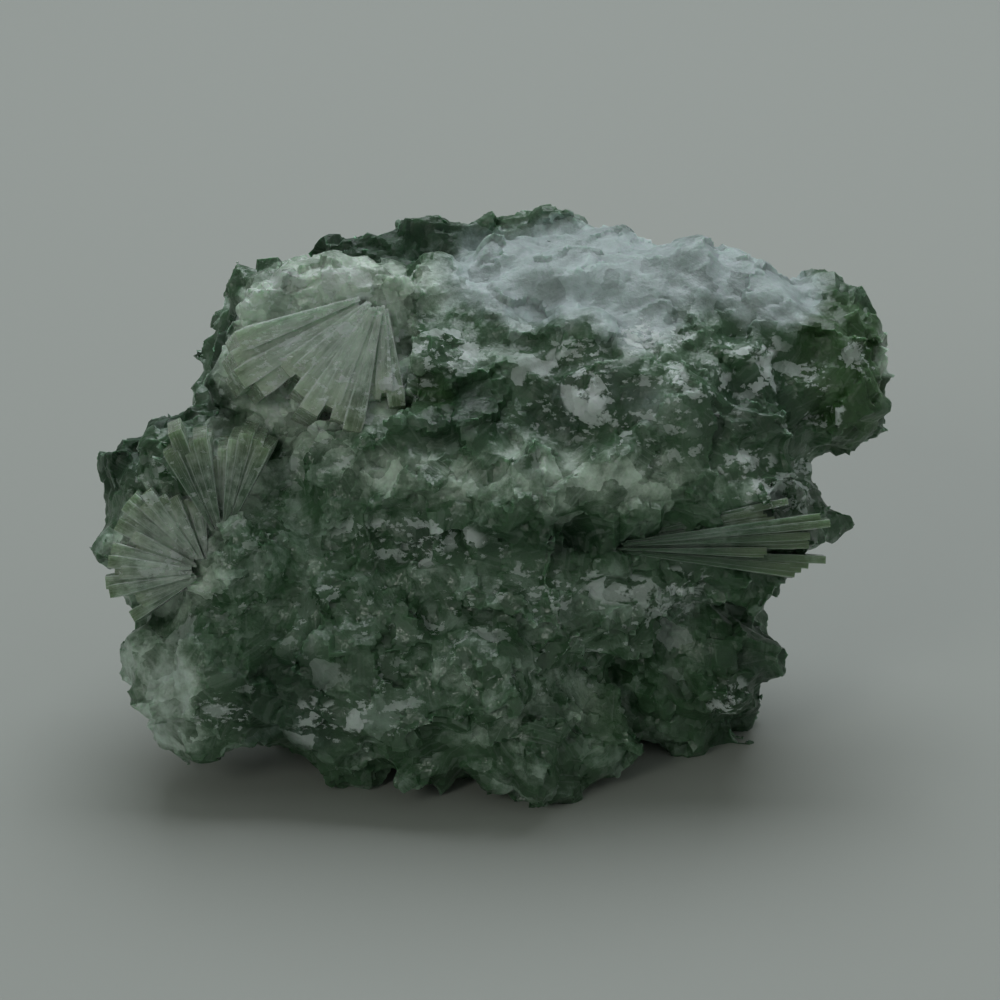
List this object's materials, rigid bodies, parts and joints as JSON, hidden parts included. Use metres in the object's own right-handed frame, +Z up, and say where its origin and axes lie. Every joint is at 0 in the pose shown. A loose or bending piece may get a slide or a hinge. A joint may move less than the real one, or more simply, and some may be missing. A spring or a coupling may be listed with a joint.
{
  "type": "raw prehnite",
  "caption": "Raw prehnite: a palm-sized lump of intergrown pale to deep green crystals, with fans of square-ended blades, that rests on a flat spot.",
  "frame": {"origin": "on the flat spot that the lump rests on, below its middle", "axes": "+Z up, +X along the lump's long way, to the right as seen from its front; -Y is the front with the best fans"},
  "size_m": [0.0506, 0.0303, 0.032],
  "materials": {
    "prehnite": "vitreous on crystal faces, dull and chalky on broken ones, slightly translucent"
  },
  "bodies": {
    "root": {"prehnite": "prehnite"}
  },
  "joints": []
}
